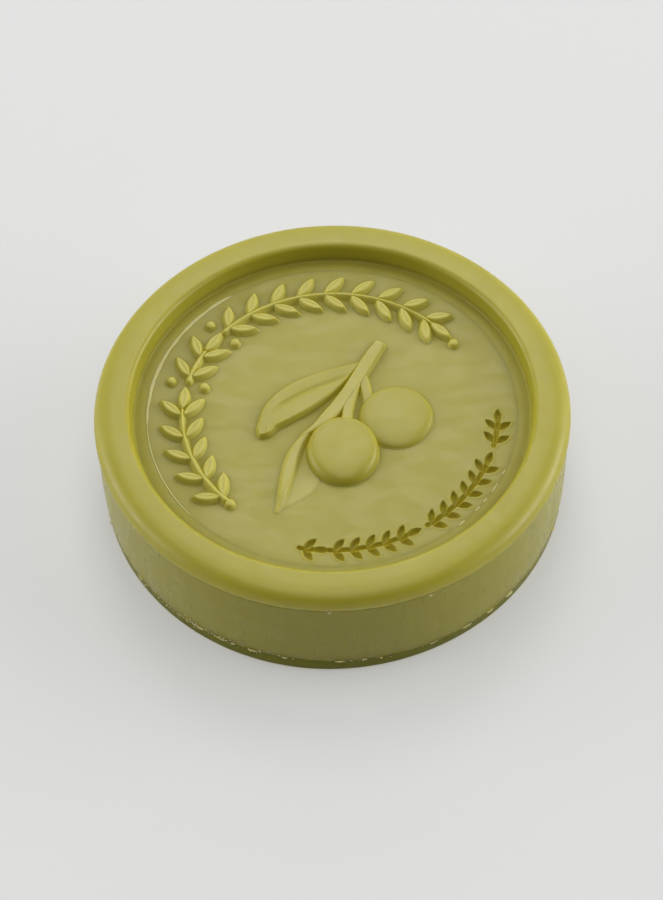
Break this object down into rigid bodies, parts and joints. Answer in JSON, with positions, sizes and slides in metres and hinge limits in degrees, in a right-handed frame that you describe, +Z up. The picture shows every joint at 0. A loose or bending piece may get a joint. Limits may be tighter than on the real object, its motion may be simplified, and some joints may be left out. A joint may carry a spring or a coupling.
{
  "type": "shaving soap puck",
  "caption": "Round pressed soap puck with a raised rim, a dished face, an olive sprig in relief, a raised leaf garland and small sunk leaf sprigs.",
  "frame": {"origin": "centre of the flat base, on the surface the puck rests on", "axes": "+Z up through the stamped face, -Y towards the front of the ornament, +X to its right"},
  "size_m": [0.08, 0.08, 0.0213],
  "materials": {
    "soap_base": "pressed olive-oil soap, matt with a faint waxy sheen, darker where it is undercut",
    "soap_side": "pressed olive-oil soap, matt, with faint upright drag marks and patches",
    "soap_rim": "pressed olive-oil soap, smooth and waxy, worn soft at its edges",
    "soap_face": "pressed olive-oil soap, smooth and waxy, with faint streaks",
    "soap_relief": "pressed olive-oil soap, smooth and waxy, deeper in colour at the relief's sides",
    "soap_flash": "thin dried soap flash, paler and rougher than the puck"
  },
  "bodies": {
    "root": {"base_cap": "soap_base", "side_band": "soap_side", "rim_ring": "soap_rim", "face_panel": "soap_face", "insert_line": "soap_flash", "twig": "soap_relief", "stalk_front": "soap_relief", "stalk_rear": "soap_relief", "olive_front": "soap_relief", "olive_rear": "soap_relief", "leaf_upper": "soap_relief", "leaf_lower": "soap_relief", "garland_stems": "soap_relief", "garland_leaves": "soap_relief", "garland_berries": "soap_relief", "flash_lower": "soap_flash", "flash_upper": "soap_flash"}
  },
  "joints": []
}
